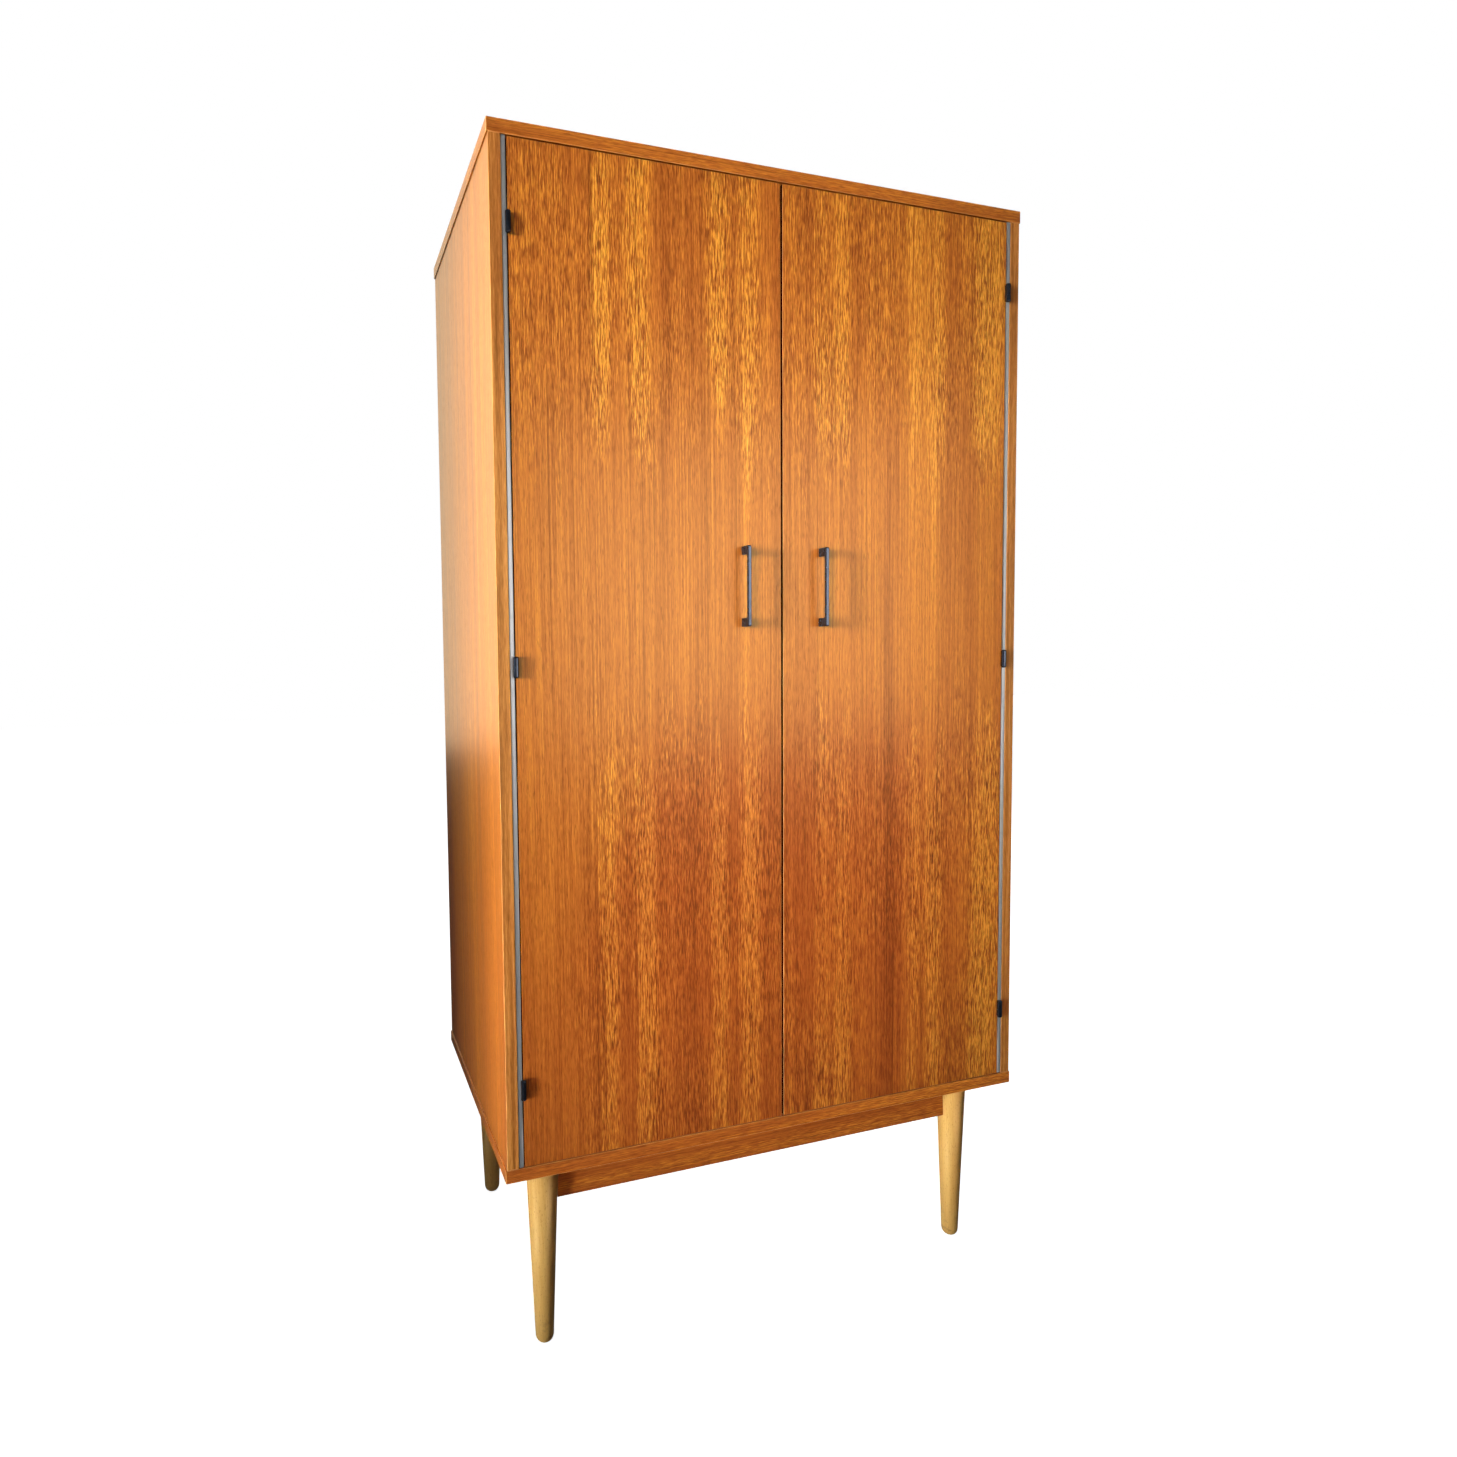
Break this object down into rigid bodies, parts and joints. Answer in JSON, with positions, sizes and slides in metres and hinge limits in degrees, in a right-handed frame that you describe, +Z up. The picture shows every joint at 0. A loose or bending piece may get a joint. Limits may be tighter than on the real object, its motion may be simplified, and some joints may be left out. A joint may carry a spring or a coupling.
{
  "type": "wardrobe with doors",
  "caption": "Free-standing wardrobe: veneered carcass on turned tapered legs, inset doors on butt hinges with bridge handles, hat shelf over a hanging rail.",
  "frame": {"origin": "on the floor, under the middle of the whole wardrobe with its handles and its doors shut", "axes": "+Z up, -Y the way the doors face, +X to the right of someone facing the doors"},
  "size_m": [0.914, 0.554, 1.82],
  "materials": {
    "teak_veneer": "teak veneer, satin lacquer",
    "beech": "turned beech, satin lacquer",
    "back_plywood": "thin plywood, thin matt lacquer",
    "strip_aluminium": "satin anodised strip",
    "hinge_steel": "dark polished steel",
    "handle_metal": "grey cast metal, polished",
    "rail_steel": "plated steel",
    "screw_steel": "zinc-plated steel",
    "catch_plastic": "moulded off-white plastic"
  },
  "bodies": {
    "carcass": {"back_panel": "back_plywood", "bottom_panel": "teak_veneer", "front_apron_rail": "teak_veneer", "front_left_leg": "beech", "front_right_leg": "beech", "hanging_rail": "rail_steel", "hat_shelf": "teak_veneer", "left_apron_rail": "teak_veneer", "left_catch": "catch_plastic", "left_lower_frame_leaf": "hinge_steel", "left_lower_hinge_pin": "hinge_steel", "left_middle_frame_leaf": "hinge_steel", "left_middle_hinge_pin": "hinge_steel", "left_rail_socket": "rail_steel", "left_shelf_batten": "beech", "left_side_panel": "teak_veneer", "left_trim_strip": "strip_aluminium", "left_upper_frame_leaf": "hinge_steel", "left_upper_hinge_pin": "hinge_steel", "rear_apron_rail": "teak_veneer", "rear_left_leg": "beech", "rear_right_leg": "beech", "right_apron_rail": "teak_veneer", "right_catch": "catch_plastic", "right_lower_frame_leaf": "hinge_steel", "right_lower_hinge_pin": "hinge_steel", "right_middle_frame_leaf": "hinge_steel", "right_middle_hinge_pin": "hinge_steel", "right_rail_socket": "rail_steel", "right_shelf_batten": "beech", "right_side_panel": "teak_veneer", "right_trim_strip": "strip_aluminium", "right_upper_frame_leaf": "hinge_steel", "right_upper_hinge_pin": "hinge_steel", "top_panel": "teak_veneer"},
    "left_door": {"left_door_panel": "teak_veneer", "left_handle": "handle_metal", "left_handle_upper_screw": "screw_steel", "left_handle_lower_screw": "screw_steel", "left_strike_plate": "screw_steel", "left_upper_door_leaf": "hinge_steel", "left_middle_door_leaf": "hinge_steel", "left_lower_door_leaf": "hinge_steel"},
    "right_door": {"right_door_panel": "teak_veneer", "right_handle": "handle_metal", "right_handle_upper_screw": "screw_steel", "right_handle_lower_screw": "screw_steel", "right_strike_plate": "screw_steel", "right_upper_door_leaf": "hinge_steel", "right_middle_door_leaf": "hinge_steel", "right_lower_door_leaf": "hinge_steel"}
  },
  "joints": [
    {"name": "left_door_hinge", "type": "hinge", "parent": "carcass", "child": "left_door", "pos_m": [-0.42925, -0.2576, 1.0625], "axis": [0, 0, -1], "range_deg": [0, 170]},
    {"name": "right_door_hinge", "type": "hinge", "parent": "carcass", "child": "right_door", "pos_m": [0.42925, -0.2576, 1.0625], "axis": [0, 0, 1], "range_deg": [0, 170]}
  ]
}
